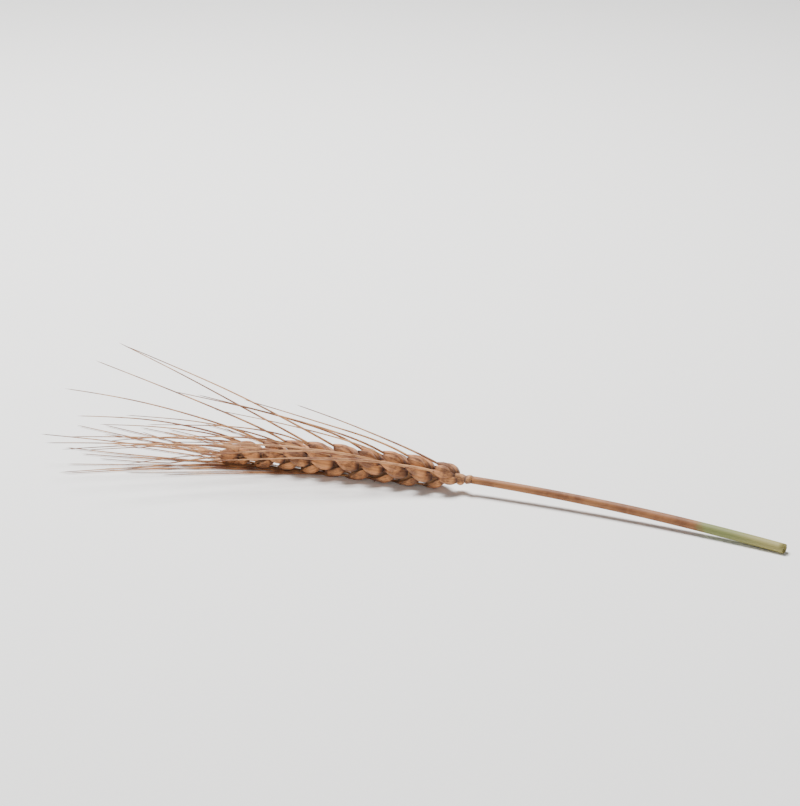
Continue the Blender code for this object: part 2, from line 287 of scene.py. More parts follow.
def growEar():
    draw = random.Random(spikelets["seed"])
    for s, row, share in spikeletPlaces():
        tangent, rows, fans = lineFrame(s)
        outward = rows * row
        pressed = 1 - spikelets["pressed"] * max(0, -outward.z)
        lean = spikelets["lean"] * between(spikelets["leans"], share) * pressed
        lean = math.radians(lean + draw.uniform(-1, 1) * spikelets["turnJitter"])
        along = tangent * math.cos(lean) + outward * math.sin(lean)
        out = outward * math.cos(lean) - tangent * math.sin(lean)
        base = linePoint(s) + outward * (spikelets["zigzag"] + spikelets["aside"])
        base -= along * spikelets["sunk"]
        size = between(spikelets["sizes"], share)
        growSpikelet(base, along, out, size, between(spikelets["awnLengths"], share), draw)
    # the last one closes the tip, turned a quarter
    tangent, rows, fans = lineFrame(spikelets["last"])
    base = linePoint(spikelets["last"] + spikelets["tipOn"])
    growSpikelet(base, tangent, fans, spikelets["tipSize"], spikelets["awnLengths"][-1][1], draw)


growEar()
# The line starts at the collar, the frame in the middle of the footprint
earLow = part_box("ear")[0]
shiftX = earLow.x - mm * min(path[-1].x for path, tone, thick in awnPaths)
shiftY = earLow.y - mm * min(path[-1].y for path, tone, thick in awnPaths)
print("laid out", len(glumePlaces), "glumes,", len(lemmaPlaces), "lemmas,", len(awnPaths), "awns")
print("the line starts at", round(shiftX / mm, 3), round(shiftY / mm, 3))


# Modelling help: what is picked in edit mode, how rings are drawn out, and how a shape is laid in place
def deselectAll():
    if bpy.context.object and bpy.context.object.mode == "EDIT":
        bpy.ops.object.mode_set(mode="OBJECT")
    bpy.ops.object.select_all(action="DESELECT")


def pick(kind, test):
    bpy.ops.mesh.select_mode(type=kind)
    bpy.ops.mesh.select_all(action="DESELECT")
    mesh = bmesh.from_edit_mesh(bpy.context.object.data)
    for part in {"VERT": mesh.verts, "EDGE": mesh.edges, "FACE": mesh.faces}[kind]:
        part.select = bool(test(part))
    mesh.select_flush_mode()
    bmesh.update_edit_mesh(bpy.context.object.data)


def drawOut(way):
    bpy.ops.mesh.extrude_region_move(TRANSFORM_OT_translate={"value": way})


def resizeRing(wide, deep, centre):
    bpy.ops.transform.resize(value=(wide, deep, 1), center_override=centre)


# Closes the end that is selected and the one that the test finds
def closeEnds(test):
    bpy.ops.mesh.edge_face_add()
    pick("VERT", test)
    bpy.ops.mesh.edge_face_add()
    faceOutwards()


def faceOutwards():
    bpy.ops.mesh.select_all(action="SELECT")
    bpy.ops.mesh.normals_make_consistent(inside=False)
    bpy.ops.object.mode_set(mode="OBJECT")


# A closed stalk, drawn out ring by ring: each ring's s, half width, half depth and shift
def modelRings(name, sides, rings):
    deselectAll()
    bpy.ops.mesh.primitive_circle_add(vertices=sides, radius=1)
    stalk = bpy.context.object
    stalk.name = name
    bpy.ops.object.mode_set(mode="EDIT")
    bpy.ops.mesh.select_all(action="SELECT")
    s, wide, deep, shift = rings[0]
    bpy.ops.transform.translate(value=(0, shift, s))
    resizeRing(wide, deep, (0, shift, s))
    for nextS, nextWide, nextDeep, nextShift in rings[1:]:
        drawOut((0, nextShift - shift, nextS - s))
        resizeRing(nextWide / wide, nextDeep / deep, (0, nextShift, nextS))
        s, wide, deep, shift = nextS, nextWide, nextDeep, nextShift
    closeEnds(lambda v: v.co.z < rings[0][0] + 0.01)
    return stalk


# An open rod, one across and as many high as it has steps
def modelRod(name, sides, steps):
    deselectAll()
    bpy.ops.mesh.primitive_cylinder_add(vertices=sides, radius=1, depth=steps,
                                        location=(0, 0, steps / 2), end_fill_type="NOTHING")
    rod = bpy.context.object
    rod.name = name
    bpy.ops.object.transform_apply(location=True, rotation=False, scale=False)
    bpy.ops.object.mode_set(mode="EDIT")
    pick("EDGE", lambda e: abs(e.verts[0].co.z - e.verts[1].co.z) > 0.5)
    bpy.ops.mesh.subdivide(number_cuts=steps - 1)
    return rod


def smoothAndApply(piece):
    smooth = piece.modifiers.new("smooth", "SUBSURF")
    smooth.levels = 1
    smooth.render_levels = 1
    bpy.context.view_layer.objects.active = piece
    for modifier in list(piece.modifiers):
        bpy.ops.object.modifier_apply(modifier=modifier.name)


# Moves every vertex to where the given rule puts it, in millimetres
def reshape(mesh, rule):
    for vertex in mesh.vertices:
        vertex.co = rule(vertex.co)


# From a piece modelled upright, with its height as s, to the bent line
def layOnLine(mesh):
    def place(co):
        tangent, rows, fans = lineFrame(co.z)
        return linePoint(co.z) + fans * co.x + rows * co.y
    reshape(mesh, place)


def onTable(co):
    skin = earLine["tableSkin"]
    z = co.z if co.z > skin else skin * math.exp(co.z / skin - 1)
    return Vector((co.x * mm + shiftX, co.y * mm + shiftY, z * mm))


def setValues(mesh, name, values):
    layer = mesh.attributes.new(name, "FLOAT", "POINT")
    layer.data.foreach_set("value", values)


def setTone(mesh, tone):
    setValues(mesh, "tone", [tone] * len(mesh.vertices))


def linked(name, data):
    made = bpy.data.objects.new(name, data)
    bpy.context.scene.collection.objects.link(made)
    return made


# Copies of one shape, each with its own mesh, joined into one piece
def copyAndJoin(name, shape, places):
    copies = []
    for matrix, tone in places:
        mesh = shape.data.copy()
        mesh.transform(matrix)
        if matrix.determinant() < 0:
            mesh.flip_normals()
        setTone(mesh, tone)
        copies.append(linked(name, mesh))
    bpy.data.objects.remove(shape)
    return joined(name, copies)


def joined(name, pieces):
    deselectAll()
    for piece in pieces:
        piece.select_set(True)
    made = pieces[0]
    bpy.context.view_layer.objects.active = made
    if len(pieces) > 1:
        bpy.ops.object.join()
    made.name = name
    made.data.name = name
    reshape(made.data, onTable)
    made.data.shade_smooth()
    return made


def finishPiece(piece, node, material):
    piece.data.materials.clear()
    piece.data.materials.append(material)
    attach(piece, "root")
    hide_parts(node)


# UV maps run across a piece in u and along it in v. A turn that crosses its seam is kept whole.
def mapAlong(mesh, turnOf, alongOf):
    layer = mesh.uv_layers.new(name="along")
    for face in mesh.polygons:
        turns = []
        for index in face.loop_indices:
            co = mesh.vertices[mesh.loops[index].vertex_index].co
            turns.append((index, turnOf(co), alongOf(co)))
        low = min(turn for index, turn, share in turns)
        for index, turn, share in turns:
            if turn - low > 0.5:
                turn -= 1
            layer.data[index].uv = (turn, share)


def mapRound(mesh, height):
    mapAlong(mesh, lambda co: 0.5 + math.atan2(co.x, co.y) / (2 * math.pi), lambda co: co.z / height)


# The arc that every scale starts from, cut from a circle one across
scaleArc = {
    "sides": 24,
    "openUnder": -0.3,  # what lies lower is cut away and leaves the open side
    "edgeUnder": -0.2,
    "edgeIn": 0.13,
    "keelOver": 0.49,
    "keelAside": -0.03,
    "point": 0.1,
    "turn": 250,  # degrees that the UV map takes as its whole width
}


def bowOf(look, share):
    return look["bow"] * math.sin(math.pi * share)


# A glume, lemma or palea: the arc drawn out ring by ring into a keeled boat that ends in a point
def modelScale(name, look):
    length, width, depth = look["size"]
    deselectAll()
    bpy.ops.mesh.primitive_circle_add(vertices=scaleArc["sides"], radius=0.5)
    scale = bpy.context.object
    scale.name = name
    bpy.ops.object.mode_set(mode="EDIT")
    pick("VERT", lambda v: v.co.y < scaleArc["openUnder"])
    bpy.ops.mesh.delete(type="VERT")
    pick("VERT", lambda v: v.index % 2 == 0)  # every other line up the scale is a raised nerve
    resizeRing(look["nerve"], look["nerve"], (0, 0, 0))
    pick("VERT", lambda v: v.co.y < scaleArc["edgeUnder"])
    bpy.ops.transform.translate(value=(0, scaleArc["edgeIn"], 0))
    pick("VERT", lambda v: v.co.y > scaleArc["keelOver"])
    bpy.ops.transform.translate(value=(scaleArc["keelAside"], look["keel"], 0))
    bpy.ops.mesh.select_all(action="SELECT")
    wide, deep = width * look["rings"][0][1], depth * look["rings"][0][2]
    resizeRing(wide, deep, (0, 0, 0))
    here = Vector((0, 0, 0))
    for share, wider, deeper in look["rings"][1:]:
        there = Vector((0, bowOf(look, share), length * share))
        drawOut(there - here)
        resizeRing(width * wider / wide, depth * deeper / deep, there)
        here, wide, deep = there, width * wider, depth * deeper
    tip = Vector(look["tip"])
    drawOut(tip - here)
    resizeRing(scaleArc["point"], scaleArc["point"], tip)
    bpy.ops.mesh.merge(type="CENTER")
    faceOutwards()
    keel = max(scale.data.polygons, key=lambda face: face.center.y)
    if keel.normal.y < 0:
        scale.data.flip_normals()

    def turnOf(co):
        centre = bowOf(look, min(max(co.z / length, 0), 1))
        return 0.5 + math.atan2(co.x * depth, (co.y - centre) * width) / math.radians(scaleArc["turn"])

    mapAlong(scale.data, turnOf, lambda co: co.z / length)
    skin = scale.modifiers.new("skin", "SOLIDIFY")
    skin.thickness = look["skin"]
    skin.offset = -1
    smoothAndApply(scale)
    return scale


# Shader help
def addNode(tree, kind, links=(), **settings):
    made = tree.nodes.new(kind)
    for key, value in settings.items():
        setattr(made, key, value)
    for socket, value in links:
        if isinstance(value, bpy.types.NodeSocket):
            tree.links.new(value, made.inputs[socket])
        else:
            made.inputs[socket].default_value = value
    return made


def mixColour(tree, kind, factor, first, second):
    links = [(0, factor), (6, first), (7, second)]  # the mix node's colour sockets are its seventh and eighth
    return addNode(tree, "ShaderNodeMix", links, data_type="RGBA", blend_type=kind).outputs[2]


def reckon(tree, operation, *values):
    return addNode(tree, "ShaderNodeMath", list(enumerate(values)), operation=operation).outputs[0]


def times(tree, first, second):
    return reckon(tree, "MULTIPLY", first, second)


def plus(tree, first, second):
    return reckon(tree, "ADD", first, second)


# A value from nought to one, swung about nought by as much as reach says
def swung(tree, value, reach):
    return times(tree, reckon(tree, "SUBTRACT", value, 0.5), reach)


def ramped(tree, value, low, high, first=0, second=1):
    links = [(0, value), (1, low), (2, high), (3, first), (4, second)]
    return addNode(tree, "ShaderNodeMapRange", links, interpolation_type="SMOOTHSTEP").outputs[0]


def noiseOf(tree, place, scale, detail, roughness=0.5):
    links = [("Vector", place), ("Scale", scale), ("Detail", detail), ("Roughness", roughness)]
    return addNode(tree, "ShaderNodeTexNoise", links).outputs[0]


def objectPlace(tree):
    return addNode(tree, "ShaderNodeTexCoord").outputs["Object"]


def readValue(tree, name):
    return addNode(tree, "ShaderNodeAttribute", attribute_name=name).outputs["Fac"]


def readMap(tree):
    uv = addNode(tree, "ShaderNodeUVMap", uv_map="along").outputs[0]
    parts = addNode(tree, "ShaderNodeSeparateXYZ", [(0, uv)])
    return uv, parts.outputs[0], parts.outputs[1]


def startGroup(name, takes, gives):
    group = bpy.data.node_groups.new(name, "ShaderNodeTree")
    for label, kind, value in takes:
        socket = group.interface.new_socket(label, in_out="INPUT", socket_type=kind)
        if value is not None:
            socket.default_value = value
    for label, kind in gives:
        group.interface.new_socket(label, in_out="OUTPUT", socket_type=kind)
    return group, group.nodes.new("NodeGroupInput"), group.nodes.new("NodeGroupOutput")


def useGroup(tree, group, links):
    return addNode(tree, "ShaderNodeGroup", links, node_tree=group)


# Dye that has taken unevenly: broad patches and fine specks between a pale and a deep colour
patchLook = {
    "broadFrom": (0.3, 0.72),
    "specks": 0.5,
    "tone": -0.25,  # a scale's own tone makes all of it paler or deeper
    "deepFrom": (0.15, 1.25),
    "roughness": 0.6,
}


def buildDyePatches():
    group, takes, gives = startGroup("dye patches", [
        ("Pale", "NodeSocketColor", (0.5, 0.27, 0.14, 1)),
        ("Deep", "NodeSocketColor", (0.2, 0.09, 0.05, 1)),
        ("Tone", "NodeSocketFloat", 0),
        ("Patch Scale", "NodeSocketFloat", 260),
        ("Speck Scale", "NodeSocketFloat", 2600),
    ], [("Color", "NodeSocketColor")])
    place = objectPlace(group)
    broad = noiseOf(group, place, takes.outputs["Patch Scale"], 3, patchLook["roughness"])
    fine = noiseOf(group, place, takes.outputs["Speck Scale"], 2, patchLook["roughness"])
    amount = ramped(group, broad, *patchLook["broadFrom"])
    amount = plus(group, amount, times(group, fine, patchLook["specks"]))
    amount = plus(group, amount, times(group, takes.outputs["Tone"], patchLook["tone"]))
    amount = ramped(group, amount, *patchLook["deepFrom"])
    colour = mixColour(group, "MIX", amount, takes.outputs["Pale"], takes.outputs["Deep"])
    group.links.new(colour, gives.inputs["Color"])
    return group


# Long fine nerves that run up a scale, a straw or an awn, and the streaks of fibre between them
lineLook = {
    "nerveFrom": (0.35, 1),
    # how fast the noise changes along the piece, its scale, its detail and its roughness
    "drift": (6, 0.8, 2, 0.5),
    "streak": (5, 1, 3, 0.65),
}


def buildLongNerves():
    group, takes, gives = startGroup("long nerves", [
        ("UV", "NodeSocketVector", None),
        ("Count", "NodeSocketFloat", 9),
        ("Wander", "NodeSocketFloat", 0.05),
        ("Streaks", "NodeSocketFloat", 60),
    ], [("Nerve", "NodeSocketFloat"), ("Streak", "NodeSocketFloat")])
    wholeTurn = 2 * math.pi
    parts = addNode(group, "ShaderNodeSeparateXYZ", [(0, takes.outputs["UV"])])
    across, along = parts.outputs[0], parts.outputs[1]
    # noise is read on a cylinder, so that nothing shows where a turn closes
    angle = times(group, across, wholeTurn)
    sideways, upwards = reckon(group, "COSINE", angle), reckon(group, "SINE", angle)

    def readNoise(reach, look):
        rise, scale, detail, roughness = look
        place = addNode(group, "ShaderNodeCombineXYZ", [
            (0, times(group, sideways, reach)),
            (1, times(group, upwards, reach)),
            (2, times(group, along, rise)),
        ])
        return noiseOf(group, place.outputs[0], scale, detail, roughness)

    drift = swung(group, readNoise(1, lineLook["drift"]), takes.outputs["Wander"])
    turn = times(group, plus(group, across, drift), takes.outputs["Count"])
    wave = reckon(group, "COSINE", times(group, turn, wholeTurn))
    group.links.new(ramped(group, wave, *lineLook["nerveFrom"]), gives.inputs["Nerve"])
    reach = times(group, takes.outputs["Streaks"], 1 / wholeTurn)
    group.links.new(readNoise(reach, lineLook["streak"]), gives.inputs["Streak"])
    return group


dyePatches = buildDyePatches()
longNerves = buildLongNerves()

# What every finish shares, unless it says otherwise
dryFinish = {"sheen": 0.15, "sheenRoughness": 0.6, "specular": 0.35, "patches": 260, "specks": 2600}


def startMaterial(name, look):
    material = bpy.data.materials.new(name)
    material.use_nodes = True
    shader = material.node_tree.nodes["Principled BSDF"]
    shader.inputs["Roughness"].default_value = look["rough"]
    shader.inputs["Sheen Weight"].default_value = look["sheen"]
    shader.inputs["Sheen Roughness"].default_value = look["sheenRoughness"]
    shader.inputs["Specular IOR Level"].default_value = look["specular"]
    return material, material.node_tree, shader


# The dyed ground of a finish, its nerves and its streaks
def layGround(tree, look, uv, tone=0):
    dye = useGroup(tree, dyePatches, [
        ("Pale", look["pale"]), ("Deep", look["deep"]), ("Tone", tone),
        ("Patch Scale", look["patches"]), ("Speck Scale", look["specks"]),
    ])
    lines = useGroup(tree, longNerves, [
        ("UV", uv), ("Count", look["nerves"]), ("Wander", look["wander"]), ("Streaks", look["streaks"]),
    ])
    return dye.outputs["Color"], lines.outputs["Nerve"], lines.outputs["Streak"]


def finishMaterial(tree, shader, colour, height, look):
    strength, depth = look["bump"]
    links = [("Strength", strength), ("Distance", depth * mm), ("Height", height)]
    tree.links.new(addNode(tree, "ShaderNodeBump", links).outputs[0], shader.inputs["Normal"])
    tree.links.new(colour, shader.inputs["Base Color"])


chaffFinish = dict(
    dryFinish,
    wander=0.03,
    streaks=45,
    nerveTint=(0.45, 0.3, 0.25, 1),
    nerveFadesIn=(0.02, 0.2),
    nerveFadesOut=(0.98, 0.8),
    streakShows=(0.35, 0.7, 0, 0.35),
    edgeShows=(0.36, 0.48, 0, 0.5),
    # rootShows and each finish's root colour paint shade in at the base of a scale, where it tucks in among
    # the others
    rootShows=(0.34, 0.04, 0, 0.9),
    tipShows=0.85,
    streakHeight=0.6,
    bump=(0.55, 0.12),
)
glumeFinish = dict(
    chaffFinish,
    pale=(0.70, 0.292, 0.098, 1),
    deep=(0.17, 0.057, 0.021, 1),
    edge=(0.68, 0.36, 0.16, 1),
    # root: painted shade, near black, at the base of each glume
    root=(0.07, 0.023, 0.010, 1),
    tip=(0.06, 0.015, 0.012, 1),
    tipFrom=0.82,
    nerves=9,
    nerveDark=0.5,
    rough=0.72,
)
lemmaFinish = dict(
    chaffFinish,
    pale=(0.60, 0.245, 0.082, 1),
    deep=(0.13, 0.043, 0.017, 1),
    edge=(0.60, 0.30, 0.13, 1),
    # root: painted shade, near black, at the base of each lemma
    root=(0.07, 0.024, 0.011, 1),
    tip=(0.07, 0.018, 0.014, 1),
    tipFrom=0.84,
    nerves=7,
    nerveDark=0.5,
    rough=0.7,
)
paleaFinish = dict(
    chaffFinish,
    pale=(0.46, 0.22, 0.09, 1),
    deep=(0.15, 0.055, 0.023, 1),
    edge=(0.60, 0.36, 0.2, 1),
    # root: painted shade, near black, at the base of each palea
    root=(0.06, 0.02, 0.01, 1),
    tip=(0.22, 0.10, 0.06, 1),
    tipFrom=0.85,
    nerves=3,
    nerveDark=0.3,
    rough=0.65,
)


def chaffMaterial(name, look):
    material, tree, shader = startMaterial(name, look)
    uv, across, along = readMap(tree)
    colour, nerve, streak = layGround(tree, look, uv, readValue(tree, "tone"))
    fadesIn = ramped(tree, along, *look["nerveFadesIn"])
    nerve = times(tree, nerve, times(tree, fadesIn, ramped(tree, along, *look["nerveFadesOut"])))
    colour = mixColour(tree, "MULTIPLY", times(tree, nerve, look["nerveDark"]), colour, look["nerveTint"])
    colour = mixColour(tree, "MIX", ramped(tree, streak, *look["streakShows"]), colour, look["edge"])
    offMiddle = reckon(tree, "ABSOLUTE", reckon(tree, "SUBTRACT", across, 0.5))
    colour = mixColour(tree, "MIX", ramped(tree, offMiddle, *look["edgeShows"]), colour, look["edge"])
    # painted shade: each scale darkens towards its base, where it is tucked in among the others
    colour = mixColour(tree, "MIX", ramped(tree, along, *look["rootShows"]), colour, look["root"])
    atTip = ramped(tree, along, look["tipFrom"], 1, 0, look["tipShows"])
    colour = mixColour(tree, "MIX", atTip, colour, look["tip"])
    height = plus(tree, nerve, times(tree, streak, look["streakHeight"]))
    finishMaterial(tree, shader, colour, height, look)
    return material


awnFinish = dict(
    dryFinish,
    pale=(0.62, 0.31, 0.13, 1),
    deep=(0.22, 0.082, 0.034, 1),
    tip=(0.08, 0.02, 0.016, 1),
    tipShows=(0.7, 1.08, 0, 0.8),
    rootShows=(0, 0.06, 0.35, 0),
    toneMoves=0.12,  # how far an awn's own tone moves where its dark tip starts
    rough=0.6,
    sheen=0.1,
    patches=120,
    specks=1500,
    nerves=4,
    wander=0.1,
    streaks=12,
    bump=(0.4, 0.06),
)


def awnMaterial():
    look = awnFinish
    material, tree, shader = startMaterial("awn bristle", look)
    uv, across, along = readMap(tree)
    tone = readValue(tree, "tone")
    colour, nerve, streak = layGround(tree, look, uv, tone)
    end = plus(tree, along, times(tree, tone, look["toneMoves"]))
    colour = mixColour(tree, "MIX", ramped(tree, end, *look["tipShows"]), colour, look["tip"])
    colour = mixColour(tree, "MIX", ramped(tree, along, *look["rootShows"]), colour, look["tip"])
    finishMaterial(tree, shader, colour, plus(tree, nerve, streak), look)
    return material


rachisFinish = dict(
    dryFinish,
    pale=(0.55, 0.26, 0.10, 1),
    deep=(0.11, 0.040, 0.018, 1),
    # groove is painted shade, near black, laid in the neck's creases
    grooveShade=(0.035, 0.012, 0.007, 1),
    grooveShadeShows=0.85,
    nerveTint=(0.5, 0.35, 0.3, 1),
    nerveDark=0.4,
    rough=0.7,
    patches=420,
    nerves=14,
    wander=0.05,
    streaks=40,
    bump=(0.5, 0.1),
)
hairFinish = dict(rachisFinish, pale=(0.62, 0.45, 0.28, 1), deep=(0.45, 0.28, 0.16, 1))


def rachisMaterial(name, look):
    material, tree, shader = startMaterial(name, look)
    uv, across, along = readMap(tree)
    colour, nerve, streak = layGround(tree, look, uv)
    colour = mixColour(tree, "MULTIPLY", times(tree, nerve, look["nerveDark"]), colour, look["nerveTint"])
    # painted shade: the creases where straw, collar and node meet are darkened almost to black
    inGrooveShade = times(tree, readValue(tree, "grooveShade"), look["grooveShadeShows"])
    colour = mixColour(tree, "MIX", inGrooveShade, colour, look["grooveShade"])
    finishMaterial(tree, shader, colour, plus(tree, nerve, streak), look)
    return material


strawFinish = dict(
    dryFinish,
    pale=(0.33, 0.140, 0.052, 1),
    deep=(0.18, 0.069, 0.027, 1),
    green=(0.20, 0.22, 0.075, 1),
    bare=(0.32, 0.28, 0.10, 1),
    greenFrom=(0.08, 0.26),  # shares of the straw from its cut end
    greenStreaks=0.12,
    dyeEnds=0.265,  # the share that the dye hasn't reached
    dyeFades=(0.02, 0.025),
    edgeScale=320,
    edgeMoves=0.05,
    edgeStreaks=0.03,
    nerveTint=(0.5, 0.4, 0.32, 1),
    nerveDark=0.28,
    nerveHeight=-0.35,
    streakHeight=0.8,
    rough=0.6,
    sheen=0,
    patches=130,
    specks=1600,
    nerves=22,
    wander=0.01,
    streaks=70,
    bump=(0.3, 0.08),
)


def strawMaterial():
    look = strawFinish
    material, tree, shader = startMaterial("straw skin", look)
    uv, across, along = readMap(tree)
    dyed, nerve, streak = layGround(tree, look, uv)
    ripe = plus(tree, along, times(tree, streak, look["greenStreaks"]))
    bare = mixColour(tree, "MIX", ramped(tree, ripe, *look["greenFrom"]), look["bare"], look["green"])
    cloud = noiseOf(tree, objectPlace(tree), look["edgeScale"], 3)
    edge = plus(tree, along, swung(tree, cloud, look["edgeMoves"]))
    edge = plus(tree, edge, swung(tree, streak, look["edgeStreaks"]))
    before, after = look["dyeFades"]
    reached = ramped(tree, edge, look["dyeEnds"] - before, look["dyeEnds"] + after)
    colour = mixColour(tree, "MIX", reached, bare, dyed)
    colour = mixColour(tree, "MULTIPLY", times(tree, nerve, look["nerveDark"]), colour, look["nerveTint"])
    height = times(tree, nerve, look["nerveHeight"])
    height = plus(tree, height, times(tree, streak, look["streakHeight"]))
    finishMaterial(tree, shader, colour, height, look)
    return material


print("materials ready")

# The scales
glumeSkin = chaffMaterial("glume skin", glumeFinish)
lemmaSkin = chaffMaterial("lemma skin", lemmaFinish)
paleaSkin = chaffMaterial("palea skin", paleaFinish)
for name, look, places, skin in (
    ("glumes", glumeLook, glumePlaces, glumeSkin),
    ("lemmas", lemmaLook, lemmaPlaces, lemmaSkin),
    ("beakedLemmas", beakedLook, beakedPlaces, lemmaSkin),
    ("paleas", paleaLook, paleaPlaces, paleaSkin),
):
    finishPiece(copyAndJoin(name, modelScale(name + "Shape", look), places), "ear", skin)
print("scales made")


# The awns: one tapering rod, laid along each awn's path
def modelAwns():
    steps = awnLook["steps"]
    rod = modelRod("awnShape", awnLook["sides"], steps)
    pick("VERT", lambda v: v.co.z > steps - 0.5)
    bpy.ops.mesh.merge(type="CENTER")
    bpy.ops.object.mode_set(mode="OBJECT")
    mapRound(rod.data, steps)
    copies = []
    for path, tone, thick in awnPaths:
        frames = []
        across = Vector((0, 0, 1))
        for k, point in enumerate(path):
            way = (path[min(k + 1, steps)] - path[max(k - 1, 0)]).normalized()
            across = (across - way * across.dot(way)).normalized()
            share = max(k - 1, 0) / (steps - 1)
            radius = awnLook["tipRadius"] - awnLook["rootRadius"]
            radius = (awnLook["rootRadius"] + radius * share ** awnLook["thins"]) * thick
            frames.append((point, across * radius, way.cross(across) * radius))
        mesh = rod.data.copy()
        for vertex in mesh.vertices:
            point, across, upward = frames[min(round(vertex.co.z), steps)]
            vertex.co = point + across * vertex.co.x + upward * vertex.co.y
        setTone(mesh, tone)
        copies.append(linked("awn", mesh))
    bpy.data.objects.remove(rod)
    return joined("awns", copies)


finishPiece(modelAwns(), "ear", awnMaterial())
print("awns made")

# The stalk inside the ear: collar and neck turned in rings, then one joint for each spikelet
neckLook = {
    # each ring's s and radius
    "profile": ((-0.3, 1.2), (0.05, 1.24), (0.3, 1.16), (0.5, 1.28), (0.8, 1.46), (1.2, 1.56),
                (1.6, 1.52), (2.0, 1.34), (2.3, 1.16), (2.6, 1.08), (3.0, 1.12), (3.4, 1.18),
                (3.8, 1.16), (4.4, 1.12), (5.4, 1.2), (6.6, 1.35), (7.4, 1.1)),
    "collar": (1.3, 0.9),  # where it swells, and how wide
    "node": (3.6, 0.7),  # the same for the barren node
    "slant": 0.45,  # the two lie oblique, opposite ways
    "collarTips": (0.6, -0.5),
    "collarOut": (0.28, 0.4),  # the collar swells to one side
    "collarFlat": 0.06,
    "nodeWide": 0.12,
    "grooveShades": ((0.1, 0.22), (2.35, 0.35), (4.9, 0.4)),  # painted shade, dark rings in the neck's creases: where, and how wide
    "mapHeight": 8,
    "sides": 20,
}
jointLook = {
    # each ring's s, half width, half depth and shift
    "rings": ((-0.7, 1.1, 1.0, -0.35), (0.4, 1.3, 1.3, -0.3), (1.7, 1.5, 1.6, 0), (3.1, 1.7, 1.75, 0.3),
              (3.9, 1.8, 1.75, 0.45), (4.3, 1.6, 1.4, 0.5), (4.6, 1.2, 0.8, 0.4)),
    "thins": 0.12,  # what they lose by the tip
    "mapHeight": 4,
    "sides": 10,
}


# One at the place, falling off to nought on both sides of it
def near(z, place):
    at, wide = place
    return math.exp(-((z - at) / wide) ** 2)


def modelNeck():
    rings = [(s, radius, radius, 0) for s, radius in neckLook["profile"]]
    neck = modelRings("neck", neckLook["sides"], rings)
    mapRound(neck.data, neckLook["mapHeight"])

    # painted shade in the creases: one dark ring at each given place
    def grooveShadeOf(co):
        return min(1, sum(near(co.z, grooveShade) for grooveShade in neckLook["grooveShades"]))

    def slanted(co):
        collar = near(co.z, neckLook["collar"])
        node = near(co.z, neckLook["node"])
        tipX, tipY = neckLook["collarTips"]
        outX, outY = neckLook["collarOut"]
        rise = neckLook["slant"] * (collar * (tipX * co.x + tipY * co.y) - node * co.y)
        x = co.x * (1 + neckLook["nodeWide"] * node) + outX * collar
        y = co.y * (1 - neckLook["collarFlat"] * collar) + outY * collar
        return Vector((x, y, co.z + rise))

    setValues(neck.data, "grooveShade", [grooveShadeOf(vertex.co) for vertex in neck.data.vertices])
    reshape(neck.data, slanted)
    layOnLine(neck.data)
    return neck


def modelJoints():
    joint = modelRings("jointShape", jointLook["sides"], jointLook["rings"])
    mapRound(joint.data, jointLook["mapHeight"])
    smoothAndApply(joint)
    pitch = (spikelets["last"] - spikelets["first"]) / (spikelets["count"] - 1)
    copies = []
    for s, row, share in spikeletPlaces():
        mesh = joint.data.copy()
        thin = row * (1 - jointLook["thins"] * share)
        mesh.transform(Matrix.Translation((0, 0, s - pitch)) @ Matrix.Diagonal((thin, thin, 1, 1)))
        layOnLine(mesh)
        copies.append(linked("joint", mesh))
    bpy.data.objects.remove(joint)
    return copies


rachis = joined("rachis", [modelNeck()] + modelJoints())
finishPiece(rachis, "ear", rachisMaterial("rachis stalk", rachisFinish))

# A fringe of short pale hairs along both edges of each joint
hairLook = {
    "perSide": 8,
    "length": (0.7, 1.5),
    "radius": 0.028,
    "along": (-0.8, 0.3),
    "up": (0.2, 0.8),
    "aside": (1.2, 1.5),
    "leansOut": (0.1, 0.7),
    "leansUp": (-0.3, 0.3),
    "seed": 5,
}


def modelHairs():
    deselectAll()
    bpy.ops.mesh.primitive_cone_add(vertices=3, radius1=1, radius2=0, depth=1,
                                    location=(0, 0, 0.5), end_fill_type="NOTHING")
    hair = bpy.context.object
    bpy.ops.object.transform_apply(location=True, rotation=False, scale=False)
    mapAlong(hair.data, lambda co: 0.5, lambda co: co.z)
    draw = random.Random(hairLook["seed"])
    radius = hairLook["radius"]
    copies = []
    for s, row, share in spikeletPlaces():
        tangent, rows, fans = lineFrame(s)
        for side in (-1, 1):
            for k in range(hairLook["perSide"]):
                root = linePoint(s + draw.uniform(*hairLook["along"]))
                root += rows * row * draw.uniform(*hairLook["up"])
                root += fans * side * draw.uniform(*hairLook["aside"])
                way = tangent + fans * side * draw.uniform(*hairLook["leansOut"])
                way += rows * draw.uniform(*hairLook["leansUp"])
                turn = way.normalized().to_track_quat("Z", "Y").to_matrix().to_4x4()
                size = Matrix.Diagonal((radius, radius, draw.uniform(*hairLook["length"]), 1))
                mesh = hair.data.copy()
                mesh.transform(Matrix.Translation(root) @ turn @ size)
                copies.append(linked("hair", mesh))
    bpy.data.objects.remove(hair)
    return joined("hairs", copies)


finishPiece(modelHairs(), "ear", rachisMaterial("pale hair", hairFinish))
print("rachis made")

# The barren bud on the neck: one small scale, and two smaller ones that spread from inside it
budLook = {
    "at": 3.6,
    "size": (4.6, 3.2, 2.4),
    "neck": 1.15,
    "sunk": 1.2,
    "leans": (0.9, 0.42),
    "innerShare": (0.8, 0.8, 0.86),
    "innerAside": 0.25,
    "innerFaces": 0.6,
    "innerFan": 0.12,
    "tones": (0.9, 0.5),
}


